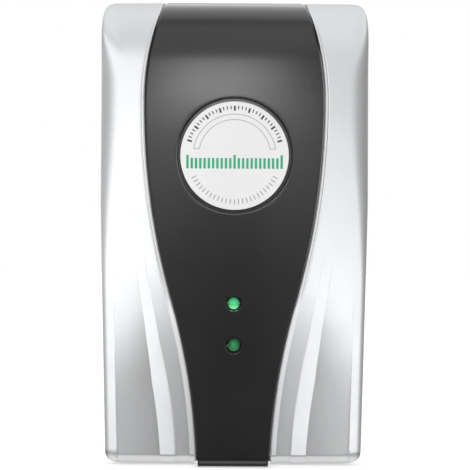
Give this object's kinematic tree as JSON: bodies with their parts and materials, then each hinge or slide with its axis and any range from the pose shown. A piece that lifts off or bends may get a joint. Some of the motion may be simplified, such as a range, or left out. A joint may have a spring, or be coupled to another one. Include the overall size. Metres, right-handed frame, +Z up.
{
  "type": "plug-in energy saver",
  "caption": "Wall plug-in box with sculpted silver wings round a black waisted centre panel, round foil label, small green lamps and a round two-pin plug behind.",
  "frame": {"origin": "on the plug's face, midway between the two pins", "axes": "+Y out of the back along the pins, -Y the front of the box, +Z up, +X to the right as seen from the front"},
  "size_m": [0.069, 0.0709, 0.12],
  "materials": {
    "silver_paint": "fine silver metallic paint, satin gloss",
    "black_trim": "matte black, fine moulded texture",
    "label_foil": "satin white foil with plain dial marks",
    "black_shell": "matte black, spark-eroded texture",
    "plate_film": "bare silver film sticker",
    "plug_plastic": "smooth satin black",
    "pin_nickel": "bright nickel plate",
    "screw_steel": "zinc plated",
    "board_laminate": "tan phenolic laminate",
    "lamp_green": "clear green lens",
    "lamp_green_dim": "clear green lens, deeper in its hole",
    "spacer_nylon": "black nylon",
    "film_box": "pale moulded box",
    "dropper_box": "yellow moulded box",
    "can_sleeve": "dark blue shrink sleeve on an aluminium can",
    "varistor_coat": "blue dipped coating",
    "fuse_glass": "clear glass",
    "diode_body": "black epoxy with a pale band",
    "resistor_coat": "pale blue lacquer with colour bands",
    "tinned_wire": "tinned wire",
    "solder": "solder",
    "wire_brown": "brown insulation",
    "wire_blue": "blue insulation"
  },
  "bodies": {
    "root": {"front_shell": "silver_paint", "centre_panel": "black_trim", "label_disc": "label_foil", "rear_shell": "black_shell", "rating_plate": "plate_film", "plug_base": "plug_plastic", "plug_pin_left": "pin_nickel", "plug_pin_right": "pin_nickel", "plug_base_screws": "screw_steel", "shell_screws": "screw_steel", "circuit_board": "board_laminate", "board_screws": "screw_steel", "upper_led": "lamp_green", "lower_led": "lamp_green_dim", "led_spacers": "spacer_nylon", "film_capacitor": "film_box", "dropper_capacitor": "dropper_box", "smoothing_capacitor": "can_sleeve", "varistor": "varistor_coat", "fuse_tube": "fuse_glass", "fuse_caps": "pin_nickel", "rectifier_diodes": "diode_body", "resistors": "resistor_coat", "component_leads": "tinned_wire", "solder_joints": "solder", "live_wire": "wire_brown", "neutral_wire": "wire_blue"}
  },
  "joints": []
}
